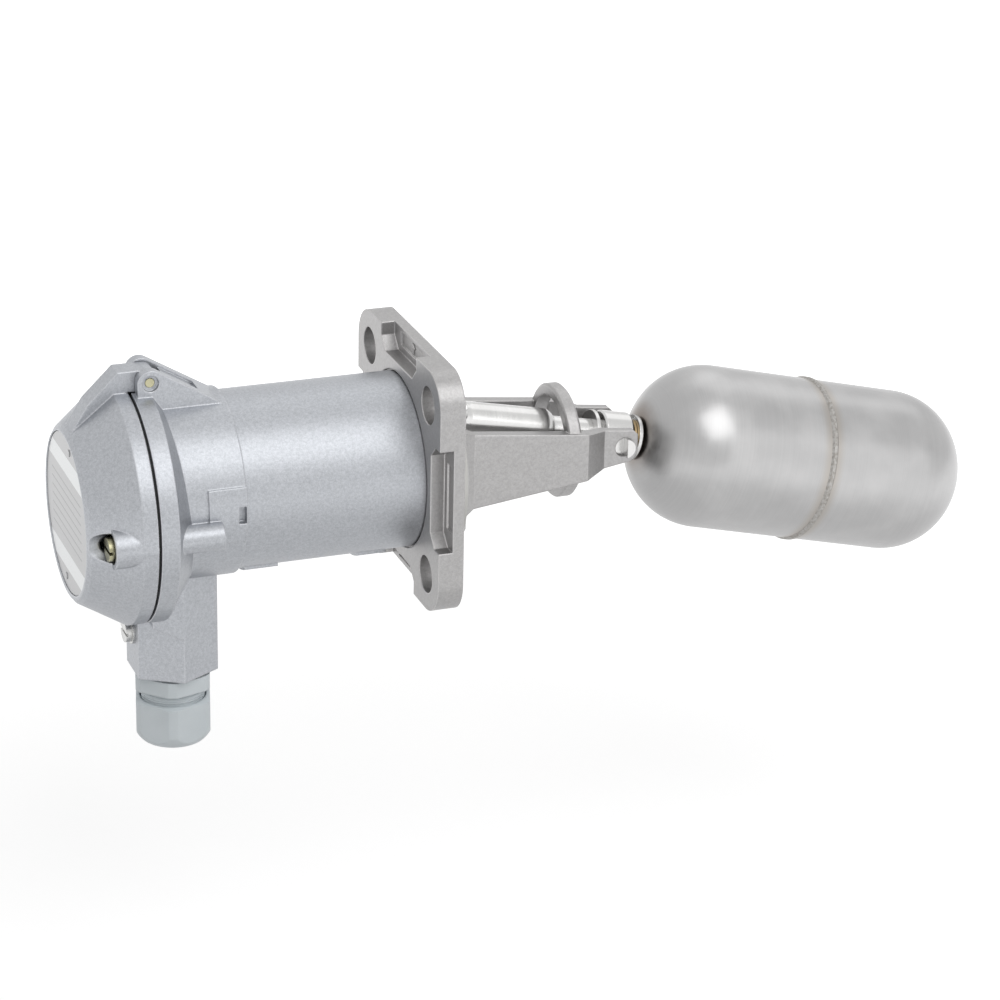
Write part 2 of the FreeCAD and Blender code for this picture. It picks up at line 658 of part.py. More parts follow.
RIVETS = (("-6.2", "19.2"), ("2.9", "-31.4"))


def makeCoverFittings():
    widths = ("rimDiameter - rimWall * 0.6 - 0.2", "rimDiameter - rimWall * 1.4 + 0.2")
    outer, inner = [rod("X", width, "2.2", "-rimFront - 0.7", "0", "-rimDrop") for width in widths]
    keep("cover_seal", cut(outer, inner))
    plateX = "-%s + labelDepth - labelThickness" % COVER_FRONT
    holes = [rod("X", "1.7", "4", plateX + " - 1", across, up) for across, up in RIVETS]
    keep("label_plate", cut(rod("X", "labelDiameter - 0.6", "labelThickness", plateX, "0", "-labelDrop"),
                            *holes))
    rivets = []
    for across, up in RIVETS:
        rivets.append(rod("X", "1.5", "2", plateX, across, up))
        rivets.append(rod("X", "2.6", "0.35", plateX + " - 0.35", across, up))
    keep("label_rivets", joined(*rivets))

    # Slotted captive screws whose ends reach into the housing's lugs
    screws = []
    for side in SIDES:
        y = side + "screwSpread / 2"
        headX = "-%s - 11.2 - 5.6" % COVER_BACK
        head = rod("X", "screwHead", "5.6", headX, y, "-screwDrop")
        shank = rod("X", "coverScrew", "16.8 + coverGap + 14", headX, y, "-screwDrop")
        slot = block("2", "screwHead + 1", "1.2", headX + " - 0.6", y, "-screwDrop - 0.6")
        screws.append(cut(joined(head, shank), slot))
    keep("cover_screws", joined(*screws))
    keep("hinge_pin", rod("Y", "hingePin", "hingeWidth - 3", "-hingeBack", "-(hingeWidth - 3) / 2",
                          HINGE_HEIGHT))


# Cable gland and external earth screw on the neck

GLAND_FLATS = 27
GLAND_TURN = -15
EARTH_HEIGHT = "-54.7"
NECK_FACE = "-(neckAxis + neckFlats / 2)"


def hexagon(flats, length, x, z):
    item = doc.addObject("Part::Prism", "hexagon")
    item.Polygon = 6
    item.Circumradius = flats / 3 ** 0.5
    item.setExpression("Height", bound(length))
    return putAt(item, x, "0", z, Rotation(Vector(0, 0, 1), GLAND_TURN + 30))


def makeGland():
    axis = "-neckAxis"
    thread, washer = "glandThread", "1"
    keep("gland_gasket", ring("Z", "25", thread + " + 0.1", washer, axis, "0", "-neckBottom - " + washer))
    top = "(-neckBottom - %s)" % washer
    hexBody = common(hexagon(GLAND_FLATS, "6", axis, top + " - 6"),
                     rod("Z", "29.4", "6", axis, "0", top + " - 6"))
    stem = rod("Z", thread, "10.5", axis, "0", top)
    collar = rod("Z", "22.6", "9.7", axis, "0", top + " - 15.7")
    keep("gland_body", cut(joined(hexBody, stem, collar),
                           rod("Z", "14", "30", axis, "0", top + " - 17")))

    # Domed cap nut: a hexagon turned down at both ends
    nut = newBody("gland_nut_form")
    low, high = top + " - 27", top + " - 10.4"
    aroundZ(nut, [("0", high), ("12.8", high), ("14.7", high + " - 0.8"),
                  ("14.7", low + " + 4.6", "9", -1), ("12", low), ("0", low)], across=axis)
    bores = [rod("Z", "24.4", "1.6", axis, "0", high + " - 1.6"),
             rod("Z", "22.8", "5.6", axis, "0", high + " - 5.6"),
             rod("Z", "19", "7", axis, "0", low + " + 5"), rod("Z", "13.4", "22", axis, "0", low + " - 1")]
    keep("gland_nut", cut(common(hexagon(GLAND_FLATS, "16.6", axis, low), nut), *bores))
    keep("gland_seal", ring("Z", "18.6", "13", "6", axis, "0", low + " + 5.1"))

    keep("earth_washer", ring("X", "10", "5.1", "1", NECK_FACE + " - 1", "0", EARTH_HEIGHT))
    head = joined(rod("X", "8.4", "2.2", NECK_FACE + " - 3.2", "0", EARTH_HEIGHT),
                  rod("X", "5", "8.5", NECK_FACE + " - 3.2", "0", EARTH_HEIGHT))
    slot = block("1.4", "9", "1.2", NECK_FACE + " - 3.8", "0", EARTH_HEIGHT + " - 0.6")
    keep("earth_screw", cut(head, slot))


# Bracket: round foot, two tapering cheeks, guide ring and pivot eyes

def makeBracket():
    body = newBody("bracket")
    foot = "(raisedFace + baseThickness)"
    padAlongX(body, lambda sketch: circle(sketch, "0", "0", "baseDiameter"), "raisedFace", "baseThickness")
    outer, inner = "bracketWidth / 2", "(bracketWidth / 2 - cheek)"
    eyeOut, eyeIn = "eyeWidth / 2", "(eyeWidth / 2 - eye)"
    jogStart, jogEnd, tip = "(ringReach + ringLength + 2.2)", "(pivotReach - 8)", "(pivotReach + 5.2)"
    for side in SIDES:
        plan = [("raisedFace", inner), (jogStart + " - 1", inner), (jogEnd + " - 1", eyeIn), (tip, eyeIn),
                (tip, eyeOut), (jogEnd, eyeOut), (jogStart, outer), (foot + " + 6", outer),
                (foot, outer + " + 3.5"), ("raisedFace", outer + " + 3.5")]
        sketch = newSketch(body, "XY")
        outline(sketch, [(x, side + "(%s)" % y) for x, y in plan])
        pad(body, sketch, "36", both=True)

    # Upper and lower edges taper towards the eyes
    def above(sketch):
        outline(sketch, [(foot, "17"), (foot + " + 6", "13.9"), (jogStart, "8.8"), (jogEnd, "7.1"),
                         (tip + " - 1.5", "5.7"), (tip, "4.2"), (tip + " + 1", "4.2"),
                         (tip + " + 1", "30"), (foot, "30")])

    def below(sketch):
        outline(sketch, [(foot, "-17.5"), (foot + " + 6", "-14.9"), (jogStart, "-9.4"), (jogEnd, "-7.9"),
                         (tip + " - 4", "-6.4", "4.5", 1), (tip, "-2.5"), (tip + " + 1", "-2.5"),
                         (tip + " + 1", "-30"), (foot, "-30")])
    cutAcross(body, above, "bracketWidth + 20")
    cutAcross(body, below, "bracketWidth + 20")

    # Guide ring, flush with the cheeks' outer faces
    bore = "(ringDiameter / 2 - ringWall)"
    aroundX(body, [("ringReach", bore), ("ringReach + ringLength", bore),
                   ("ringReach + ringLength", "ringDiameter / 2 - 0.8"),
                   ("ringReach + ringLength - 0.8", "ringDiameter / 2"),
                   ("ringReach + 0.8", "ringDiameter / 2"), ("ringReach", "ringDiameter / 2 - 0.8")])
    for side in SIDES:
        sketch = newSketch(body, "XY")
        points = [("ringReach - 2", outer), ("ringReach + ringLength + 2", outer),
                  ("ringReach + ringLength + 2", "ringDiameter"), ("ringReach - 2", "ringDiameter")]
        outline(sketch, [(x, side + "(%s)" % y) for x, y in points])
        pocket(body, sketch, "ringDiameter", both=True)

    cutAlongX(body, lambda sketch: oblong(sketch, "slotWidth", "slotHeight"), "raisedFace", "baseThickness")
    cutAlongX(body, fourHoles(*BRACKET_SCREW, "smallScrew + 0.4"), "raisedFace", "baseThickness")
    cutAcross(body, lambda sketch: circle(sketch, "pivotReach", "-pivotDrop", "pivotPin + 0.06"),
              "bracketWidth")
    keep("bracket", body)


def socketScrew(x, y, z, shank, away):
    # M4 socket screw along X; away is "-" where its head looks to the housing side
    head, reach = "4", "(4 + %s)" % shank
    if away:
        pieces = (rod("X", "7", head, "(%s) - %s" % (x, head), y, z),
                  rod("X", "smallScrew", reach, "(%s) - %s" % (x, head), y, z))
        socket = hexSocket("(%s) - %s" % (x, head), y, z, 1)
    else:
        pieces = (rod("X", "7", head, x, y, z),
                  rod("X", "smallScrew", reach, "(%s) - %s" % (x, shank), y, z))
        socket = hexSocket("(%s) + %s" % (x, head), y, z, -1)
    return cut(joined(*pieces), socket)


def hexSocket(x, y, z, inward):
    item = doc.addObject("Part::Prism", "socket")
    item.Polygon = 6
    item.Circumradius = 1.75
    item.Height = 2.4
    return putAt(item, "(%s) + %s" % (x, 0 if inward > 0 else -2.4), y, z, TURNS["X"])


def makeFixings():
    screws = {"bracket_screws": (BRACKET_SCREW, "raisedFace + baseThickness", "12", ""),
              "housing_screws": (HOUSING_SCREW, "-%s - bulkhead - frameSheet" % HOUSING_FRONT, "12.5", "-")}
    for label, ((across, up), x, shank, away) in screws.items():
        group = [socketScrew(x, sideways + across, upward + up, shank, away)
                 for sideways in SIDES for upward in SIDES]
        keep(label, joined(*group))

    # Pivot pin with a half-round tongue left standing at its near end
    length = "(eyeWidth - 2)"
    pin = rod("Y", "pivotPin", length, "pivotReach", "-%s / 2" % length, "-pivotDrop")
    tongue = common(rod("Y", "pivotPin", "6", "pivotReach", "-eyeWidth / 2 - 2.2", "-pivotDrop"),
                    block("pivotPin", "8", "pivotPin", "pivotReach + 0.4", "-eyeWidth / 2",
                          "-pivotDrop - pivotPin / 2"))
    recess = block("pivotPin", "4", "pivotPin + 1", "pivotReach + 0.4 - pivotPin", "-eyeWidth / 2",
                   "-pivotDrop - pivotPin / 2 - 0.5")
    keep("pivot_pin", joined(cut(pin, recess), tongue))


# Lever: all pieces are drawn about the pivot, with the float towards +X, then tilted

def onLever(item):
    return tilted(item, "pivotReach", "-pivotDrop", "leverDroop")


def makeLever():
    hub = newBody("lever_hub")
    radius = "hubDiameter / 2"
    aroundX(hub, [("-hubTail", "0"), ("-hubTail", radius + " - 0.6"), ("-hubTail + 0.6", radius),
                  ("hubNose - 1.4", radius), ("hubNose", radius + " - 1.4"), ("hubNose", "5.6"),
                  ("hubNose - 3", "5.6"), ("hubNose - 3", "0")])
    cutAcross(hub, lambda sketch: circle(sketch, "0", "0", "pivotPin + 2 * runningGap"), "hubDiameter + 2")
    keep("lever_hub", onLever(hub))

    shaft = newBody("lever_rod")
    rodRadius = "rodDiameter / 2"
    rodEnd = "-%s - 14" % TUBE_HEAD
    aroundX(shaft, [(rodEnd, "0"), (rodEnd, rodRadius), ("-hubTail", rodRadius), ("-hubTail", "0")])
    keep("lever_rod", onLever(shaft))
    keep("lever_washer", onLever(ring("X", "17", "rodDiameter + 0.1", "1.4", "-hubTail - 3.7", "0", "0")))

    # Polished tube, round at the ring end and flared where it enters the flange
    tube = newBody("lever_tube")
    out, wall = "leverTube / 2", "leverWall"
    flare = "(leverTube / 2 + 0.9)"
    aroundX(tube, [("-" + TUBE_TAIL, flare), ("-%s + 0.7" % TUBE_TAIL, flare), ("-%s + 6.7" % TUBE_TAIL, out),
                   ("-%s - 4" % TUBE_HEAD, out, "5", -1), ("-" + TUBE_HEAD, rodRadius + " + 0.6"),
                   ("-" + TUBE_HEAD, rodRadius + " + 0.02"), ("-%s - 2" % TUBE_HEAD, rodRadius + " + 0.02"),
                   ("-%s - 5" % TUBE_HEAD, out + " - " + wall), ("-%s + 5" % TUBE_TAIL, out + " - " + wall),
                   ("-%s + 5" % TUBE_TAIL, "capsuleDiameter / 2 + 0.02"),
                   ("-" + TUBE_TAIL, "capsuleDiameter / 2 + 0.02")])
    keep("lever_tube", onLever(tube))

    capsule = newBody("magnet_capsule")
    outer = "capsuleDiameter / 2"
    end, seat = "-" + MAGNET_END, "-%s + 5" % TUBE_TAIL
    aroundX(capsule, [(end, "0"), (end, outer + " - 1"), (end + " + 1", outer), (seat, outer), (seat, "0")])
    floor, lid = end + " + 1", "-%s + 3.5" % TUBE_TAIL
    aroundX(capsule, [(floor, "0"), (floor, outer + " - 1.2"), (lid, outer + " - 1.2"), (lid, "0")],
            cutting=True)
    keep("magnet_capsule", onLever(capsule))
    magnet = newBody("lever_magnet")
    aroundX(magnet, [("-%s + 1.1" % MAGNET_END, "0"), ("-%s + 1.1" % MAGNET_END, outer + " - 1.3"),
                     ("-%s - 2" % TUBE_TAIL, outer + " - 1.3"), ("-%s - 2" % TUBE_TAIL, "0")])
    keep("lever_magnet", onLever(magnet))


# Float: hangs a little lower than the lever, in the play of its coupling

def onFloat(item):
    reach = "(hubNose + 2.3)"
    return tilted(item, "pivotReach + %s * cos(leverDroop)" % reach,
                  "-pivotDrop - couplingPlay - %s * sin(leverDroop)" % reach, "leverDroop + floatSag")


def domeHalf(end, crown, weldAt, facing):
    # Shell of one half as (x, radius) points; facing is 1 for the near dome, -1 for the far one
    radius, wall, knuckle = "floatDiameter / 2", "floatWall", "floatKnuckle"
    drop = "(%s - %s)" % (radius, knuckle)
    span = "(%s - %s)" % (crown, knuckle)
    run = "sqrt(%s ^ 2 - %s ^ 2)" % (span, drop)
    sign = "+" if facing > 0 else "-"

    def along(distance):
        return "%s %s (%s)" % (end, sign, distance)
    knuckleAt = along("%s - %s" % (crown, run))
    points = []
    for inset in ("0", wall):
        size = "(%s - %s)" % (crown, inset)
        apex = (along(inset), "0", size, -facing)
        meet = (along("%s - %s * %s / %s" % (crown, size, run, span)), "%s * %s / %s" % (size, drop, span),
                "%s - %s" % (knuckle, inset), -facing)
        rim = (knuckleAt, "%s - %s" % (radius, inset))
        joint = (weldAt, "%s - %s" % (radius, inset))
        points.append([apex, meet, rim, joint])
    outer, inner = points
    apex, meet, rim, joint = inner
    back = [joint, rim + (meet[2], facing), meet[:2] + (apex[2], facing), apex[:2]]
    return outer + back


def makeFloat():
    collarAt = "-0.9"
    stub = newBody("float_stub")
    small, wide = "stubDiameter / 2", "collarDiameter / 2"
    aroundX(stub, [("-5.2", "0"), ("-5.2", small), (collarAt, small), (collarAt, wide),
                   (collarAt + " + 1.4", wide), (collarAt + " + 1.4", small), ("floatStart", small),
                   ("floatStart", "0")])
    keep("float_stub", onFloat(stub))
    held = ring("X", "13.2", "stubDiameter + 0.1", "0.9", collarAt + " - 1", "0", "0")
    keep("retaining_ring", onFloat(held))

    weldAt = "(floatStart + floatLength / 2 + 1)"
    near = newBody("float_shell_near")
    aroundX(near, domeHalf("floatStart", "floatCrown", weldAt, 1))
    keep("float_shell_near", onFloat(near))
    far = newBody("float_shell_far")
    aroundX(far, domeHalf("(floatStart + floatLength)", "floatCrownFar", weldAt, -1))
    keep("float_shell_far", onFloat(far))
    bead = newBody("float_weld")
    radius = "floatDiameter / 2"
    aroundX(bead, [(weldAt + " - weldWidth / 2", radius), (weldAt + " + weldWidth / 2", radius),
                   (weldAt + " + weldWidth / 4", radius + " + weldHeight"),
                   (weldAt + " - weldWidth / 4", radius + " + weldHeight")])
    keep("float_weld", onFloat(bead))


# Switch mechanism: frame on the bulkhead, rocker with magnet, microswitch and terminals

FOOT_BACK = "(%s + bulkhead + frameSheet)" % HOUSING_FRONT


def makeSwitchFrame():
    frame = newBody("switch_frame")
    sheetWall = "frameSheet"
    foot = "-" + FOOT_BACK
    padAlongX(frame, lambda sketch: circle(sketch, "0", "0", "tubeBore - 3"), foot, sheetWall)
    rear = "(-%s)" % TERMINAL_PLATE
    for side in SIDES:
        y = [side + "frameGap / 2", "%s(frameGap / 2 + frameSheet)" % side]
        sketch = newSketch(frame, "XY")
        outline(sketch, [(rear, y[0]), (foot, y[0]), (foot, y[1]), (rear, y[1])])
        pad(frame, sketch, "46", both=True)

    # The cheeks are low beside the rocker's magnet and tall beside the microswitch
    def aboveCheek(sketch):
        outline(sketch, [(foot, "9"), (foot, "30"), (rear + " - 1", "30"), (rear + " - 1", "22.5"),
                         ("-50", "22.5"), ("-42", "9")])

    def belowCheek(sketch):
        outline(sketch, [(foot, "-9"), ("-60", "-9"), (rear + " - 1", "-5"), (rear + " - 1", "-30"),
                         (foot, "-30")])
    cutAcross(frame, aboveCheek, "frameGap + 4 * frameSheet")
    cutAcross(frame, belowCheek, "frameGap + 4 * frameSheet")
    padAlongX(frame, lambda sketch: rectangle(sketch, "-blockWidth / 2", "blockWidth / 2", "-5", "10"),
              rear, sheetWall)
    cutAlongX(frame, lambda sketch: rectangle(sketch, "-frameGap / 2", "frameGap / 2", "-20", "20"),
              foot, sheetWall)
    cutAlongX(frame, fourHoles(*HOUSING_SCREW, "smallScrew + 0.4"), foot, sheetWall)
    cutAcross(frame, lambda sketch: circle(sketch, "-rockerReach", "0", "rockerPin + 0.02"), "frameGap + 10")
    for x, z in SWITCH_HOLES:
        cutAcross(frame, lambda sketch: circle(sketch, x, z, "3.1"), "frameGap + 10")
    for y in TERMINALS_FIXED:
        cutAlongX(frame, lambda sketch: circle(sketch, y, "2.5", "3.1"), rear, sheetWall)
    keep("switch_frame", frame)


TERMINAL_PLATE = "84"
SWITCH_HOLES = (("-57", "17"), ("-75", "17"))
TERMINALS_FIXED = ("-16", "16")


def makeMechanism():
    # Rocker, drawn about its pin with the magnet towards +X
    body = newBody("rocker")
    padAcross(body, [("-16", "-1.6"), ("0", "-3"), ("26", "-2.2"), ("28", "-4.2"), ("28", "4.2"),
                     ("26", "2.2"), ("0", "3"), ("-16", "1.6")], "rockerWidth")
    sketch = newSketch(body, "XZ")
    circle(sketch, "0", "0", "9")
    pad(body, sketch, "rockerWidth", both=True)
    cutAcross(body, lambda sketch: circle(sketch, "0", "0", "rockerPin + 2 * runningGap"), "rockerWidth + 2")
    keep("rocker", tilted(body, "-rockerReach", "0", "rockerTilt"))
    magnet = newBody("rocker_magnet")
    padAcross(magnet, [("28", "-5"), ("33", "-5"), ("33", "5"), ("28", "5")], "rockerWidth")
    keep("rocker_magnet", tilted(magnet, "-rockerReach", "0", "rockerTilt"))
    keep("rocker_pin", rod("Y", "rockerPin", "frameGap + 2 * frameSheet + 1", "-rockerReach",
                           "-(frameGap + 2 * frameSheet + 1) / 2", "0"))

    # Microswitch above the rocker's tail, its plunger pressed in at rest
    switchX = "-52 - switchLength"
    case = block("switchLength", "switchWidth", "switchHeight", switchX, "0", "switchLift")
    bores = [rod("Y", "3.1", "20", x, "-10", z) for x, z in SWITCH_HOLES]
    plungerX = "-58.5"
    well = rod("Z", "3.3", "4.5", plungerX, "0", "switchLift - 0.5")
    tabs = [block("0.8", "4.8", "5", x, "0", "switchLift + switchHeight") for x in ("-56", "-66", "-76")]
    keep("microswitch", joined(cut(case, well, *bores), *tabs))
    tail = "(58.5 - rockerReach)"
    tip = "(%s * tan(rockerTilt) + (3 - 1.4 * %s / 16) / cos(rockerTilt) + 0.35)" % (tail, tail)
    keep("microswitch_plunger", rod("Z", "3", "switchLift + 1.6 - " + tip, plungerX, "0", tip))
    width = "(frameGap + 2 * frameSheet)"
    screws = []
    for x, z in SWITCH_HOLES:
        screws.append(rod("Y", "3", width + " + 2", x, "-%s / 2" % width, z))
        screws.append(rod("Y", "5.5", "2", x, "-%s / 2 - 2" % width, z))
    keep("microswitch_screws", joined(*screws))


def makeTerminals():
    blockX = "(-%s - blockDepth)" % TERMINAL_PLATE
    base = block("blockDepth", "blockWidth", "blockHeight", blockX, "0", "-4")
    cuts = []
    screws = []
    for y in ("-9", "0", "9"):
        cuts.append(rod("X", "6", "8", blockX + " - 0.1", y, "4.6"))
        cuts.append(block("6", "5.4", "5", blockX + " + 3.4", y, "-4.5"))
        head = joined(rod("X", "5.2", "2", blockX + " + 1", y, "4.6"),
                      rod("X", "3", "6", blockX + " + 1", y, "4.6"))
        screws.append(cut(head, block("1.6", "6", "0.8", blockX + " + 0.4", y, "4.2")))
    for y in ("-4.5", "4.5", "-13.5", "13.5"):
        cuts.append(block("2", "1", "9", blockX + " - 0.5", y, "0.2"))
    for y in TERMINALS_FIXED:
        cuts.append(rod("X", "3.2", "20", blockX + " - 1", y, "2.5"))
        cuts.append(rod("X", "5.8", "4", blockX + " - 1", y, "2.5"))
    keep("terminal_block", cut(base, *cuts))
    keep("terminal_screws", joined(*screws))
    fixings = []
    for y in TERMINALS_FIXED:
        fixings.append(rod("X", "5.4", "2", blockX + " + 1", y, "2.5"))
        fixings.append(rod("X", "3", "blockDepth + 0.5", blockX + " + 1", y, "2.5"))
    keep("terminal_fixings", joined(*fixings))


makeFlange()
makeFlangeFittings()
makeHousing()
makeCover()
makeCoverFittings()
makeGland()
makeBracket()
makeFixings()
makeLever()
makeFloat()
makeSwitchFrame()
makeMechanism()
makeTerminals()
doc.recompute()

faults = [item.Label for item in doc.Objects if "Invalid" in item.State or "Error" in item.State]
faults += [label for label, item in nodes.items() if item.Shape.isNull() or not item.Shape.isValid()]
if faults:
    raise ValueError("failed: " + ", ".join(faults))

os.makedirs("parts", exist_ok=True)
for label, item in nodes.items():
    item.Shape.exportStep("parts/%s.step" % label)
    print(label, len(item.Shape.Solids), round(item.Shape.Volume, 1))
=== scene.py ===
import bpy
import bmesh
from math import radians, sin, cos, pi
from mathutils import Matrix, Vector


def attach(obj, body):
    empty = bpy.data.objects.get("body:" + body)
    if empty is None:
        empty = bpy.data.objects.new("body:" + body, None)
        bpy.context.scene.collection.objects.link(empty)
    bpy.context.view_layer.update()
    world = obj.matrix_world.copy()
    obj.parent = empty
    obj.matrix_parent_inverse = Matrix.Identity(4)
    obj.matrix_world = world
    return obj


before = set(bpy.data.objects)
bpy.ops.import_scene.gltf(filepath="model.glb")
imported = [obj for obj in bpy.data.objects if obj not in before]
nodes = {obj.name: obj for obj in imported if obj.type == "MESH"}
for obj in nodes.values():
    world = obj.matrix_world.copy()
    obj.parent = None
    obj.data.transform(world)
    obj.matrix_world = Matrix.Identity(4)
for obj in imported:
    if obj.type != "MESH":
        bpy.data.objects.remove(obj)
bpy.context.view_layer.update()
mm = 0.001
print("frame loaded:", len(nodes), "nodes")


# Shader helpers: a Wire is one socket, and sums or products of wires become Math nodes

class Wire:
    def __init__(self, shader, socket):
        self.shader = shader
        self.socket = socket

    def math(self, operation, first, second=0.0, clamp=False):
        return self.shader.add("ShaderNodeMath", {"operation": operation, "use_clamp": clamp},
                               {0: first, 1: second})

    def __add__(self, other):
        return self.math("ADD", self, other)

    def __radd__(self, other):
        return self.math("ADD", other, self)

    def __sub__(self, other):
        return self.math("SUBTRACT", self, other)

    def __rsub__(self, other):
        return self.math("SUBTRACT", other, self)

    def __mul__(self, other):
        return self.math("MULTIPLY", self, other)

    def __rmul__(self, other):
        return self.math("MULTIPLY", other, self)

    def __truediv__(self, other):
        return self.math("DIVIDE", self, other)

    def __abs__(self):
        return self.math("ABSOLUTE", self)

    def fraction(self):
        return self.math("FRACT", self)

    def below(self, other):
        return self.math("LESS_THAN", self, other)

    def above(self, other):
        return self.math("GREATER_THAN", self, other)

    def clamped(self):
        return self.math("ADD", self, 0.0, clamp=True)

    def ramp(self, low, high, start=0.0, end=1.0):
        return self.shader.add("ShaderNodeMapRange", {"interpolation_type": "SMOOTHSTEP"},
                               {"Value": self, "From Min": low, "From Max": high,
                                "To Min": start, "To Max": end})


class Shader:
    def __init__(self, name, look=None, world=False):
        self.owner = (bpy.data.worlds if world else bpy.data.materials).new(name)
        self.owner.use_nodes = True
        self.tree = self.owner.node_tree
        self.tree.nodes.clear()
        self.end = self.tree.nodes.new("ShaderNodeOutputWorld" if world else "ShaderNodeOutputMaterial")
        if not world:
            self.surface = self.add("ShaderNodeBsdfPrincipled", {}, look or {})
            self.place = self.add("ShaderNodeTexCoord", {}, {}, "Object")
            self.show(self.surface)

    def show(self, wire):
        self.tree.links.new(wire.socket, self.end.inputs["Surface"])

    def add(self, kind, settings, values, out=0):
        # settings are set first; values are numbers, colours or wires for the sockets
        node = self.tree.nodes.new(kind)
        for name, value in settings.items():
            setattr(node, name, value)
        for name, value in values.items():
            self.feed(node.inputs[name], value)
        return Wire(self, node.outputs[out])

    def feed(self, socket, value):
        if isinstance(value, Wire):
            self.tree.links.new(value.socket, socket)
        elif hasattr(value, "__len__") and socket.type == "RGBA":
            socket.default_value = (*value[:3], 1)
        else:
            socket.default_value = value

    def set(self, **values):
        # Links or sets the surface's own sockets, such as roughness=...
        for name, value in values.items():
            self.feed(self.surface.socket.node.inputs[socketNames[name]], value)

    def noise(self, scale, detail=2.0, roughness=0.5, where=None):
        return self.add("ShaderNodeTexNoise", {}, {"Vector": where or self.place, "Scale": scale,
                                                   "Detail": detail, "Roughness": roughness})

    def speckle(self, scale):
        return self.add("ShaderNodeTexVoronoi", {}, {"Vector": self.place, "Scale": scale})

    def blend(self, low, high, factor):
        # Colour between low and high; 0, 6 and 7 are a Mix node's factor and its two colours
        return self.add("ShaderNodeMix", {"data_type": "RGBA"}, {0: factor, 6: low, 7: high}, 2)

    def vector(self, operation, first, second=(0, 0, 0), out="Vector"):
        return self.add("ShaderNodeVectorMath", {"operation": operation}, {0: first, 1: second}, out)

    def along(self, direction, origin=(0, 0, 0)):
        # Distance of the surface point along a direction from an origin, in metres
        offset = self.vector("SUBTRACT", self.place, origin)
        return self.vector("DOT_PRODUCT", offset, direction, "Value")

    def roundedNormal(self, radius, samples=6):
        return self.add("ShaderNodeBevel", {"samples": samples}, {"Radius": radius})

    def edges(self, rounded, gain):
        # 1 on outer edges and 0 on flat faces; used to lighten edges as a painted edge highlight, with wear
        # on the castings
        flat = self.add("ShaderNodeNewGeometry", {}, {}, "Normal")
        agreement = self.vector("DOT_PRODUCT", rounded, flat, "Value")
        return ((1.0 - agreement) * gain).clamped()

    def bump(self, height, strength, depth, normal=None):
        values = {"Height": height, "Strength": strength, "Distance": depth}
        if normal:
            values["Normal"] = normal
        return self.add("ShaderNodeBump", {}, values)


socketNames = {"colour": "Base Color", "roughness": "Roughness", "normal": "Normal"}


def paint(shader, *names):
    for name in names:
        thing = nodes[name] if isinstance(name, str) else name
        thing.data.materials.clear()
        thing.data.materials.append(shader.owner)


# Camera at the angle of the product picture

cameraLook = {"azimuth": -20.96, "elevation": 22.59, "roll": 1.29, "distance": 1.239,
              "right": 0.0286, "down": 0.0164, "lens": 121.72, "sensor": 36, "farthest": 50}


def makeCamera(look):
    around, up, roll = (radians(look[name]) for name in ("azimuth", "elevation", "roll"))
    back = Vector((sin(around) * cos(up), -cos(around) * cos(up), sin(up)))
    level = Vector((cos(around), sin(around), 0))
    over = back.cross(level)
    right = cos(roll) * level + sin(roll) * over
    top = -sin(roll) * level + cos(roll) * over
    data = bpy.data.cameras.new("camera")
    data.lens = look["lens"]
    data.sensor_width = look["sensor"]
    data.clip_end = look["farthest"]
    camera = bpy.data.objects.new("camera", data)
    spot = back * look["distance"] + right * look["right"] - top * look["down"]
    camera.matrix_world = Matrix.Translation(spot) @ Matrix((right, top, back)).transposed().to_4x4()
    bpy.context.scene.collection.objects.link(camera)
    bpy.context.scene.camera = camera


# Pale studio: floor, soft lamps and a white surround

studio = {
    "floorHeight": -0.19, "floorReach": 6.0, "floorColour": (0.60, 0.60, 0.60), "floorRoughness": 0.9,
    # the floor glows less near the object: painted shade round it, which metal also shows in reflection
    "shadedNearGlow": 0.55, "farGlow": 0.95, "glowReach": (0.25, 0.7),  # the floor whitens away from the object
    "surround": 0.6, "white": (1, 1, 1), "lampsAimAt": (-0.02, 0, -0.02),
    "lamps": [{"name": "key", "spot": (0.20, -0.78, 0.98), "size": 0.95, "power": 4.7},
              {"name": "rim", "spot": (0.60, 0.60, 0.95), "size": 0.9, "power": 1.2},
              {"name": "fill", "spot": (0.90, -1.10, 0.30), "size": 0.9, "power": 1.0}]}


def seenAsBackground(shader):
    # 1 for what the camera sees and for what metal and glass show
    camera, glossy, through = (shader.add("ShaderNodeLightPath", {}, {}, name)
                               for name in ("Is Camera Ray", "Is Glossy Ray", "Is Transmission Ray"))
    return (camera + glossy + through).clamped()


def makeFloor(look):
    reach, height = look["floorReach"], look["floorHeight"]
    corners = [(-reach, -reach, height), (reach, -reach, height),
               (reach, reach, height), (-reach, reach, height)]
    mesh = bpy.data.meshes.new("floor")
    mesh.from_pydata(corners, [], [(0, 1, 2, 3)])
    floor = bpy.data.objects.new("floor", mesh)
    bpy.context.scene.collection.objects.link(floor)
    pale = Shader("pale_floor", {"Base Color": look["floorColour"], "Roughness": look["floorRoughness"],
                                 "Specular IOR Level": 0.0})
    # Dimmer glow close to the object is painted shade on the floor and in the reflections of metal
    away = pale.vector("LENGTH", pale.place, out="Value")
    strength = away.ramp(*look["glowReach"], look["shadedNearGlow"], look["farGlow"])
    glow = pale.add("ShaderNodeEmission", {}, {"Color": look["white"],
                                               "Strength": seenAsBackground(pale) * strength})
    pale.show(pale.add("ShaderNodeAddShader", {}, {0: pale.surface, 1: glow}))
    paint(pale, floor)


def makeSurround(look):
    sky = Shader("surround", world=True)
    bpy.context.scene.world = sky.owner
    strength = look["surround"] + seenAsBackground(sky) * (1 - look["surround"])
    sky.show(sky.add("ShaderNodeBackground", {}, {"Color": look["white"], "Strength": strength}))


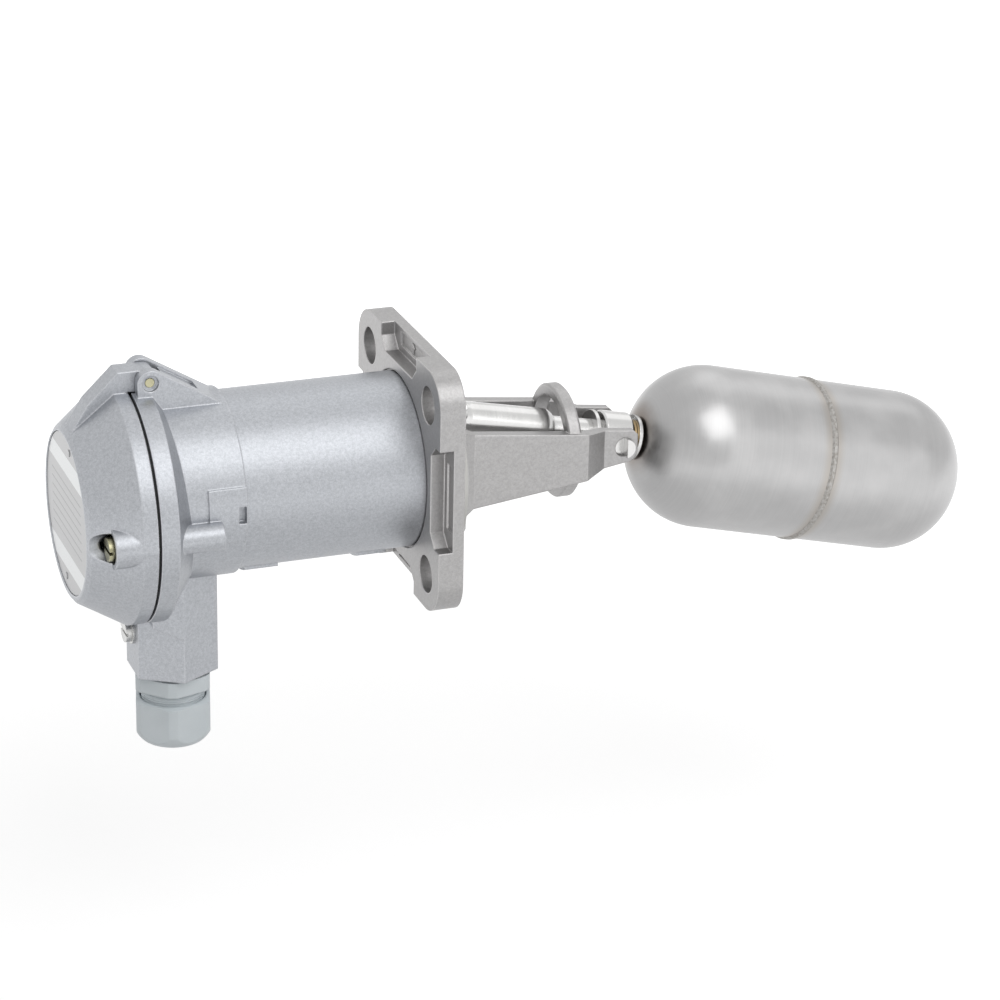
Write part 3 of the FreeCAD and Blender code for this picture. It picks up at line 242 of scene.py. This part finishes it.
def makeLamps(look):
    for lampLook in look["lamps"]:
        data = bpy.data.lights.new(lampLook["name"], "AREA")
        data.size = lampLook["size"]
        data.energy = lampLook["power"]
        lamp = bpy.data.objects.new(lampLook["name"], data)
        lamp.location = lampLook["spot"]
        aim = Vector(look["lampsAimAt"]) - Vector(lampLook["spot"])
        lamp.rotation_euler = aim.to_track_quat("-Z", "Y").to_euler()
        bpy.context.scene.collection.objects.link(lamp)


bpy.context.scene.view_settings.view_transform = "Standard"
makeCamera(cameraLook)
makeFloor(studio)
makeSurround(studio)
makeLamps(studio)
print("camera and studio ready")


# Cast metals

# The edge colours are the lighter tone of a painted edge highlight together with edge wear
castHousing = {"dark": (0.345, 0.357, 0.380), "light": (0.525, 0.541, 0.570), "edge": (0.70, 0.715, 0.74),
               "metal": 0.85, "roughness": 0.42, "edgeRadius": 0.8 * mm, "edgeGain": 3.0,
               "grainSize": 0.42 * mm, "grainDepth": 0.06 * mm}
castSteel = {"dark": (0.325, 0.319, 0.318), "light": (0.455, 0.448, 0.447), "edge": (0.62, 0.61, 0.605),
             "metal": 0.9, "roughness": 0.40, "edgeRadius": 0.8 * mm, "edgeGain": 3.5,
             "grainSize": 0.45 * mm, "grainDepth": 0.05 * mm}
castTexture = {"grainDetail": 3.0, "grainHardness": 0.62, "grainRange": (0.3, 0.7), "grainShare": 0.5,
               "mottleScale": 900, "mottleHardness": 0.7, "mottleRange": (0.3, 0.7), "mottleShare": 0.42,
               "cloudScale": 26, "cloudShare": 0.08, "pitsPerGrain": 0.55, "pitRange": (0.05, 0.32),
               "highlightAndWearRange": (0.25, 0.6), "leastHighlightAndWear": 0.55, "unevenGloss": 0.16, "edgePolish": 0.12,
               "grainRelief": 0.7, "pitRelief": 0.3, "relief": 0.6}


def castMetal(name, look, texture):
    shader = Shader(name, {"Metallic": look["metal"]})
    grain = shader.noise(1 / look["grainSize"], texture["grainDetail"], texture["grainHardness"])
    pits = shader.speckle(texture["pitsPerGrain"] / look["grainSize"]).ramp(*texture["pitRange"])
    mottle = shader.noise(texture["mottleScale"], texture["grainDetail"], texture["mottleHardness"])
    rounded = shader.roundedNormal(look["edgeRadius"])
    # Lighter outer edges: painted edge highlight and edge wear, broken into patches by the grain
    highlightAndWear = grain.ramp(*texture["highlightAndWearRange"], texture["leastHighlightAndWear"], 1.0)
    edge = shader.edges(rounded, look["edgeGain"]) * highlightAndWear
    tone = (mottle.ramp(*texture["mottleRange"]) * texture["mottleShare"]
            + grain.ramp(*texture["grainRange"]) * texture["grainShare"]
            + shader.noise(texture["cloudScale"]) * texture["cloudShare"]).clamped()
    body = shader.blend(look["dark"], look["light"], tone)
    height = grain * texture["grainRelief"] + pits * texture["pitRelief"]
    gloss = (grain - 0.5) * texture["unevenGloss"]
    shader.set(colour=shader.blend(body, look["edge"], edge),
               roughness=look["roughness"] + gloss - edge * texture["edgePolish"],
               normal=shader.bump(height, texture["relief"], look["grainDepth"], rounded))
    return shader


alloy = castMetal("cast_alloy", castHousing, castTexture)
stainlessCast = castMetal("cast_stainless", castSteel, castTexture)
paint(alloy, "housing", "cover")
paint(stainlessCast, "flange", "bracket")
print("castings finished")


# Turned and polished steel; the float's brush lines run round its own axis

lever = {"droop": 11.6, "floatDroop": 13.7, "pivot": (0.0745, 0, -0.0004), "coupling": 0.009}


def drooping(degrees):
    return Vector((cos(radians(degrees)), 0, -sin(radians(degrees))))


leverAxis = drooping(lever["droop"])
floatAxis = drooping(lever["floatDroop"])
floatStart = Vector(lever["pivot"]) + leverAxis * lever["coupling"]

floatSteel = {"dark": (0.365, 0.363, 0.365), "light": (0.505, 0.502, 0.502), "roughness": 0.31,
              "linesPerMetre": 2600, "lineDepth": 0.02 * mm,
              "heatTint": (0.375, 0.345, 0.31), "weldAt": 0.0702, "tintReach": (0.0012, 0.0055),
              # the stub keys set a painted dark patch round the stub: painted shade and a painted
              # reflection of the bracket
              "tintShare": 0.7, "stubShadeTint": (0.20, 0.165, 0.14), "stubShadeReach": (0.006, 0.017),
              "stubShadeShare": 0.9, "stubShadeScale": 70, "stubShadeEven": 0.75, "stubShadeUneven": 0.5}
polished = {"dark": (0.54, 0.537, 0.53), "light": (0.70, 0.696, 0.69), "roughness": 0.20,
            "linesPerMetre": 3000, "lineDepth": 0.012 * mm}
turnedTexture = {"waverScale": 18, "waver": 1.4, "ringDetail": 4.0, "ringHardness": 0.7, "ringShare": 0.7,
                 "cloudScale": 60, "cloudRange": (0.35, 0.7), "cloudShare": 0.35, "unevenGloss": 0.18,
                 "cloudGloss": 0.05, "relief": 0.25, "edgeRadius": 0.35 * mm}


def turnedSteel(name, look, texture, axis, origin):
    # Fine rings round an axis; also gives the distance along that axis and the plain colour
    shader = Shader(name, {"Metallic": 1.0})
    distance = shader.along(axis, origin)
    waver = shader.noise(texture["waverScale"]) * texture["waver"]
    streak = shader.add("ShaderNodeCombineXYZ", {}, {0: distance * look["linesPerMetre"], 1: waver})
    rings = shader.noise(1.0, texture["ringDetail"], texture["ringHardness"], streak)
    cloud = shader.noise(texture["cloudScale"], 3.0).ramp(*texture["cloudRange"])
    tone = (rings * texture["ringShare"] + cloud * texture["cloudShare"]).clamped()
    colour = shader.blend(look["dark"], look["light"], tone)
    rounded = shader.roundedNormal(texture["edgeRadius"])
    gloss = (rings - 0.5) * texture["unevenGloss"]
    shader.set(colour=colour,
               roughness=look["roughness"] + gloss + cloud * texture["cloudGloss"],
               normal=shader.bump(rings, texture["relief"], look["lineDepth"], rounded))
    return shader, distance, colour


def floatShellSteel(look):
    # Heat tint beside the weld, and a painted dark brown patch round the stub: painted shade beside the
    # collar and a painted reflection of the bracket
    shader, distance, colour = turnedSteel("brushed_float", look, turnedTexture, floatAxis, floatStart)
    tint = abs(distance - look["weldAt"]).ramp(*look["tintReach"], look["tintShare"], 0.0)
    tinted = shader.blend(colour, look["heatTint"], tint)
    fromStub = shader.vector("LENGTH", shader.vector("SUBTRACT", shader.place, floatStart), out="Value")
    uneven = look["stubShadeEven"] + look["stubShadeUneven"] * shader.noise(look["stubShadeScale"], 3.0)
    stubShade = (fromStub * uneven).ramp(*look["stubShadeReach"], look["stubShadeShare"], 0.0)
    shader.set(colour=shader.blend(tinted, look["stubShadeTint"], stubShade))
    return shader


paint(floatShellSteel(floatSteel), "float_shell_near", "float_shell_far")
polishedSteel = turnedSteel("polished_steel", polished, turnedTexture, leverAxis, Vector(lever["pivot"]))[0]
paint(polishedSteel, "lever_hub", "lever_rod", "lever_washer", "lever_tube", "magnet_capsule", "float_stub",
      "pivot_pin", "rocker_pin")

weldLook = {"dark": (0.28, 0.265, 0.245), "light": (0.44, 0.43, 0.415), "rippleSpacing": 1.1 * mm,
            "rippleRange": (0.3, 0.7), "rippleDepth": 0.15 * mm, "relief": 0.6, "roughness": 0.35,
            "unevenGloss": 0.15}


def weldBead(look):
    shader = Shader("weld_bead", {"Metallic": 1.0})
    ripple = shader.noise(1 / look["rippleSpacing"]).ramp(*look["rippleRange"])
    shader.set(colour=shader.blend(look["dark"], look["light"], ripple),
               roughness=look["roughness"] + ripple * look["unevenGloss"],
               normal=shader.bump(ripple, look["relief"], look["rippleDepth"]))
    return shader


paint(weldBead(weldLook), "float_weld")


# Sheet steel, plated screws, bronze and magnets: a fine even grain in different tones

sheetLook = {"dark": (0.50, 0.50, 0.49), "light": (0.64, 0.64, 0.63), "roughness": 0.34}
zincLook = {"dark": (0.46, 0.46, 0.455), "light": (0.66, 0.66, 0.65), "roughness": 0.28}
oliveLook = {"dark": (0.30, 0.28, 0.17), "light": (0.56, 0.54, 0.38), "roughness": 0.28}
bronzeLook = {"dark": (0.42, 0.30, 0.16), "light": (0.62, 0.47, 0.27), "roughness": 0.33}
magnetLook = {"dark": (0.10, 0.10, 0.105), "light": (0.17, 0.17, 0.175), "roughness": 0.5}
sheetTexture = {"grainScale": 900, "grainHardness": 0.6, "grainShare": 0.5, "cloudScale": 70,
                "cloudRange": (0.35, 0.7), "cloudShare": 0.5, "unevenGloss": 0.15, "relief": 0.2,
                "grainDepth": 0.03 * mm, "edgeRadius": 0.3 * mm}


def sheetSteel(name, look, texture):
    shader = Shader(name, {"Metallic": 1.0})
    grain = shader.noise(texture["grainScale"], 3.0, texture["grainHardness"])
    cloud = shader.noise(texture["cloudScale"], 3.0).ramp(*texture["cloudRange"])
    tone = (grain * texture["grainShare"] + cloud * texture["cloudShare"]).clamped()
    rounded = shader.roundedNormal(texture["edgeRadius"])
    shader.set(colour=shader.blend(look["dark"], look["light"], tone),
               roughness=look["roughness"] + (grain - 0.5) * texture["unevenGloss"],
               normal=shader.bump(grain, texture["relief"], texture["grainDepth"], rounded))
    return shader


paint(sheetSteel("sheet_steel", sheetLook, sheetTexture), "switch_frame", "pressure_dome")
paint(sheetSteel("zinc_plate", zincLook, sheetTexture), "bracket_screws", "housing_screws", "earth_screw",
      "earth_washer", "microswitch_screws", "terminal_screws", "terminal_fixings")
paint(sheetSteel("yellow_zinc", oliveLook, sheetTexture), "cover_screws", "hinge_pin")
paint(sheetSteel("bronze", bronzeLook, sheetTexture), "retaining_ring")
paint(sheetSteel("magnet", magnetLook, sheetTexture), "lever_magnet", "rocker_magnet")
print("steel finished")


# Small relief: the thread ridges on the gland's collar and a plain arrow in the flange's top pocket

threadLook = {"axis": (-0.0956, 0.0), "radius": 11.32 * mm, "ridge": 0.38 * mm, "pitch": 1.5 * mm,
              "turns": 3, "lowest": -82.6 * mm, "stepsAround": 72, "stepsOfSection": 8}
arrowLook = {"floor": -3.55 * mm, "relief": 0.5 * mm, "bottom": 39.7 * mm, "top": 44.1 * mm,
             "head": 2.1 * mm, "headWidth": 3.8 * mm, "shaftWidth": 1.3 * mm}


def placed(name, verts, faces, body="base"):
    mesh = bpy.data.meshes.new(name)
    mesh.from_pydata(verts, [], faces)
    mesh.update()
    thing = bpy.data.objects.new(name, mesh)
    bpy.context.scene.collection.objects.link(thing)
    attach(thing, body)
    return thing


def threadRidges(look):
    # Closed rings of round section, one above another
    verts, faces = [], []
    around, section = look["stepsAround"], look["stepsOfSection"]
    for turn in range(look["turns"]):
        first = len(verts)
        for i in range(around):
            a = 2 * pi * i / around
            for j in range(section):
                b = 2 * pi * j / section
                r = look["radius"] + look["ridge"] * cos(b)
                verts.append((look["axis"][0] + r * cos(a), look["axis"][1] + r * sin(a),
                              look["lowest"] + look["pitch"] * turn + look["ridge"] * sin(b)))
        for i in range(around):
            for j in range(section):
                k, m = (i + 1) % around, (j + 1) % section
                faces.append([first + i * section + j, first + k * section + j,
                              first + k * section + m, first + i * section + m])
    ridges = placed("thread_ridges", verts, faces)
    ridges.data.polygons.foreach_set("use_smooth", [True] * len(faces))
    return ridges


def upArrow(look):
    # A raised arrow that points to the top
    neck, half, slim = look["top"] - look["head"], look["headWidth"] / 2, look["shaftWidth"] / 2
    outline = [(0, look["top"]), (-half, neck), (-slim, neck), (-slim, look["bottom"]),
               (slim, look["bottom"]), (slim, neck), (half, neck)]
    count = len(outline)
    verts = [(look["floor"] - lift, y, z) for lift in (0, look["relief"]) for y, z in outline]
    faces = [list(range(count))[::-1], list(range(count, 2 * count))]
    faces += [[i, (i + 1) % count, count + (i + 1) % count, count + i] for i in range(count)]
    arrow = placed("top_arrow", verts, faces)
    shape = bmesh.new()
    shape.from_mesh(arrow.data)
    bmesh.ops.recalc_face_normals(shape, faces=shape.faces)
    shape.to_mesh(arrow.data)
    shape.free()
    return arrow


ridges = threadRidges(threadLook)
arrow = upArrow(arrowLook)
paint(stainlessCast, arrow)
print("small relief finished")


# Plastics, rubber and gasket board

glandLook = {"dark": (0.63, 0.68, 0.705), "light": (0.73, 0.78, 0.805), "roughness": 0.42,
             "grainSize": 0.5 * mm, "grainDepth": 0.03 * mm, "edgeRadius": 0.7 * mm}
rubberLook = {"dark": (0.018, 0.018, 0.019), "light": (0.045, 0.045, 0.047), "roughness": 0.62,
              "grainSize": 0.4 * mm, "grainDepth": 0.05 * mm, "edgeRadius": 0.4 * mm}
boardLook = {"dark": (0.66, 0.655, 0.63), "light": (0.80, 0.795, 0.77), "roughness": 0.75,
             "grainSize": 0.35 * mm, "grainDepth": 0.06 * mm, "edgeRadius": 0.4 * mm}
blackLook = {"dark": (0.02, 0.02, 0.022), "light": (0.05, 0.05, 0.054), "roughness": 0.38,
             "grainSize": 0.5 * mm, "grainDepth": 0.02 * mm, "edgeRadius": 0.4 * mm}
ivoryLook = {"dark": (0.62, 0.60, 0.53), "light": (0.74, 0.72, 0.65), "roughness": 0.4,
             "grainSize": 0.5 * mm, "grainDepth": 0.02 * mm, "edgeRadius": 0.4 * mm}
mouldedTexture = {"specular": 0.45, "cloudScale": 55, "cloudRange": (0.3, 0.7), "cloudShare": 0.5,
                  "grainShare": 0.3, "edgeGain": 1.5, "edgeShare": 0.5, "unevenGloss": 0.12, "relief": 0.3}


def moulded(name, look, texture):
    shader = Shader(name, {"Specular IOR Level": texture["specular"]})
    grain = shader.noise(1 / look["grainSize"])
    cloud = shader.noise(texture["cloudScale"], 3.0).ramp(*texture["cloudRange"])
    rounded = shader.roundedNormal(look["edgeRadius"])
    # Lighter outer edges: painted edge highlight
    edge = shader.edges(rounded, texture["edgeGain"])
    tone = (cloud * texture["cloudShare"] + grain * texture["grainShare"]
            + edge * texture["edgeShare"]).clamped()
    shader.set(colour=shader.blend(look["dark"], look["light"], tone),
               roughness=look["roughness"] + (grain - 0.5) * texture["unevenGloss"],
               normal=shader.bump(grain, texture["relief"], look["grainDepth"], rounded))
    return shader


paint(moulded("gland_grey", glandLook, mouldedTexture), "gland_body", "gland_nut", ridges)
paint(moulded("rubber_black", rubberLook, mouldedTexture), "cover_seal", "housing_gasket", "gland_seal",
      "gland_gasket")
paint(moulded("gasket_board", boardLook, mouldedTexture), "flange_gasket")
paint(moulded("switch_black", blackLook, mouldedTexture), "microswitch", "terminal_block")
paint(moulded("rocker_ivory", ivoryLook, mouldedTexture), "rocker", "microswitch_plunger")
print("plastics finished")


# Data plate: two light bands and fine ruled lines

plateLook = {"metalColour": (0.47, 0.47, 0.475), "band": (0.80, 0.815, 0.82), "ink": (0.27, 0.275, 0.28),
             "metal": 0.5, "middle": -0.0061, "bands": [(15 * mm, 22 * mm), (-22 * mm, -15 * mm)],
             "bandShare": 0.8, "field": (-13 * mm, 13 * mm), "halfWidth": 21 * mm, "lineSpacing": 3.4 * mm,
             "lineShare": 0.16, "inkShare": 0.75, "grainScale": 1600, "grainRange": (0.2, 0.8),
             "grainShare": 0.25, "grainDepth": 0.02 * mm, "relief": 0.15, "roughness": 0.36,
             "unevenGloss": 0.1}


def dataPlate(look):
    shader = Shader("data_plate", {"Metallic": look["metal"]})
    height = shader.along((0, 0, 1), (0, 0, look["middle"]))
    grain = shader.noise(look["grainScale"])
    bands = 0.0
    for low, high in look["bands"]:
        bands = bands + height.above(low) * height.below(high)
    ruled = (height / look["lineSpacing"]).fraction().below(look["lineShare"])
    field = height.above(look["field"][0]) * height.below(look["field"][1])
    across = abs(shader.along((0, 1, 0))).below(look["halfWidth"])
    light = (grain.ramp(*look["grainRange"]) * look["grainShare"] + bands * look["bandShare"]).clamped()
    metal = shader.blend(look["metalColour"], look["band"], light)
    shader.set(colour=shader.blend(metal, look["ink"], ruled * field * across * look["inkShare"]),
               roughness=look["roughness"] + (grain - 0.5) * look["unevenGloss"],
               normal=shader.bump(grain, look["relief"], look["grainDepth"]))
    return shader


paint(dataPlate(plateLook), "label_plate", "label_rivets")
print("data plate finished")
